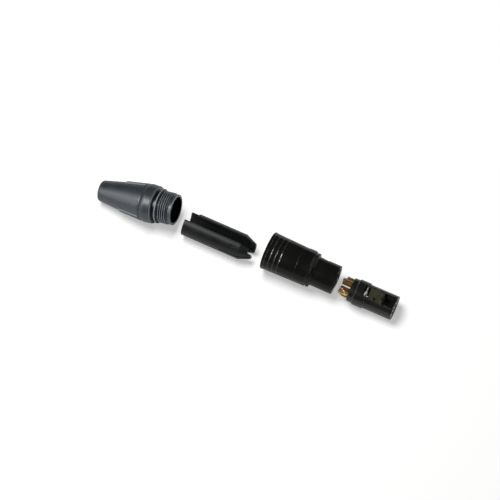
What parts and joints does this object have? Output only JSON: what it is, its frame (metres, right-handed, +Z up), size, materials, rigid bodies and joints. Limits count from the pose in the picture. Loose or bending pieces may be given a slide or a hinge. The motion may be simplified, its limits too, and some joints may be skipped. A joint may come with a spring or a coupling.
{
  "type": "cable socket connector",
  "caption": "Round inline cable socket laid out taken apart: tapered bushing, slit chuck, black housing and latched contact insert.",
  "frame": {"origin": "on the table under the middle of the row's bounding box", "axes": "+X along the row from the bushing to the insert's front face, +Y away from the near side, +Z up"},
  "size_m": [0.172, 0.0228, 0.0214],
  "materials": {
    "boot_rubber": "satin grey moulded sleeve",
    "collar_plastic": "fine satin grey",
    "chuck_plastic": "black, low sheen",
    "black_chrome": "black chrome plate, glossy",
    "tab_black": "black satin",
    "insert_black": "black moulded, low gloss",
    "gold_plate": "gold plated, polished",
    "lever_steel": "olive-brown treated sheet",
    "bright_steel": "bright drawn"
  },
  "bodies": {
    "insert": {"insert_body": "insert_black", "rear_cap": "insert_black", "contact_1": "gold_plate", "contact_2": "gold_plate", "contact_3": "gold_plate", "contact_4": "gold_plate", "contact_5": "gold_plate", "lever_pin": "bright_steel", "lever_spring": "bright_steel", "ground_strip": "bright_steel"},
    "latch": {"latch_lever": "lever_steel"},
    "housing": {"housing": "black_chrome"},
    "tab": {"push_tab": "tab_black"},
    "chuck": {"chuck": "chuck_plastic"},
    "bushing": {"boot": "boot_rubber", "bushing_collar": "collar_plastic"}
  },
  "joints": [
    {"name": "latch_hinge", "type": "hinge", "parent": "insert", "child": "latch", "pos_m": [0.0689, 0.00036, 0.01202], "axis": [-0.0105, 0.9999, 0], "range_deg": [0, 7], "stiffness_Nm_per_rad": 0.02, "springref_deg": -28.65, "deforming": ["lever_spring"]},
    {"name": "housing_lift", "type": "slide", "parent": "insert", "child": "housing", "axis": [0, 0, 1], "range_m": [0, 0.04]},
    {"name": "tab_flex", "type": "hinge", "parent": "housing", "child": "tab", "pos_m": [0.0219, 0.00828, 0.01279], "axis": [-0.0299, 0.342, -0.9392], "range_deg": [0, 4], "stiffness_Nm_per_rad": 0.2},
    {"name": "chuck_lift", "type": "slide", "parent": "insert", "child": "chuck", "axis": [0, 0, 1], "range_m": [0, 0.04]},
    {"name": "bushing_lift", "type": "slide", "parent": "insert", "child": "bushing", "axis": [0, 0, 1], "range_m": [0, 0.04]}
  ]
}
